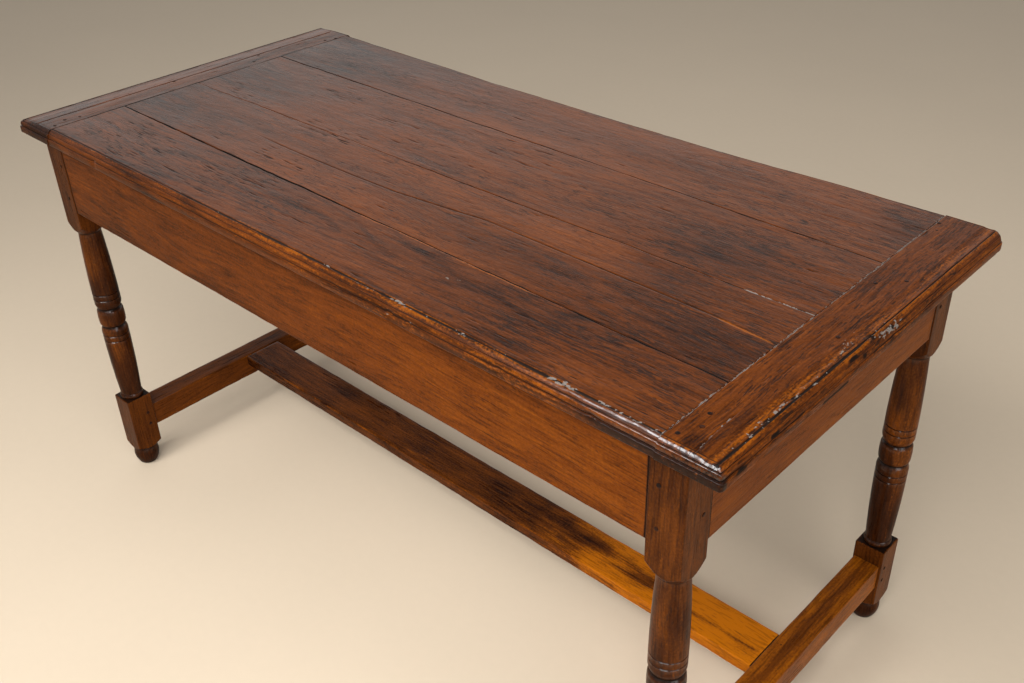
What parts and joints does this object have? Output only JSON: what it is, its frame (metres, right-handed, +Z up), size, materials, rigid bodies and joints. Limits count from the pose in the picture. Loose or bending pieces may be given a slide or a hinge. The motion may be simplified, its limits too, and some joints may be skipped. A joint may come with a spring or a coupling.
{
  "type": "farmhouse table",
  "caption": "Wooden dining table with a pegged plank top between end boards, moulded edge, deep aprons, block-and-turned legs with bun feet and a low H stretcher.",
  "frame": {"origin": "on the floor, under the middle of the table top", "axes": "+X along the length of the top, +Y across it from the front apron to the rear apron, +Z up"},
  "size_m": [1.51, 0.697, 0.76],
  "materials": {
    "top_wood": "aged dark red-brown walnut, waxed satin with worn edges",
    "frame_wood": "aged orange-brown fruitwood, waxed satin",
    "leg_wood": "turned fruitwood, polished, dark in the cut lines",
    "stretcher_wood": "aged amber-brown fruitwood, worn on top",
    "peg_wood": "end grain, nearly black with wax"
  },
  "bodies": {
    "root": {"plank_front": "top_wood", "plank_front_middle": "top_wood", "plank_rear_middle": "top_wood", "plank_rear": "top_wood", "end_board_left": "top_wood", "end_board_right": "top_wood", "apron_front": "frame_wood", "apron_rear": "frame_wood", "end_rail_left": "frame_wood", "end_rail_right": "frame_wood", "leg_front_left": "leg_wood", "leg_front_right": "leg_wood", "leg_rear_left": "leg_wood", "leg_rear_right": "leg_wood", "end_stretcher_left": "stretcher_wood", "end_stretcher_right": "stretcher_wood", "centre_stretcher": "stretcher_wood", "apron_pegs": "peg_wood", "end_rail_pegs": "peg_wood", "stretcher_pegs": "peg_wood", "centre_stretcher_pegs": "peg_wood", "end_board_pegs": "peg_wood", "top_pegs": "peg_wood"}
  },
  "joints": []
}
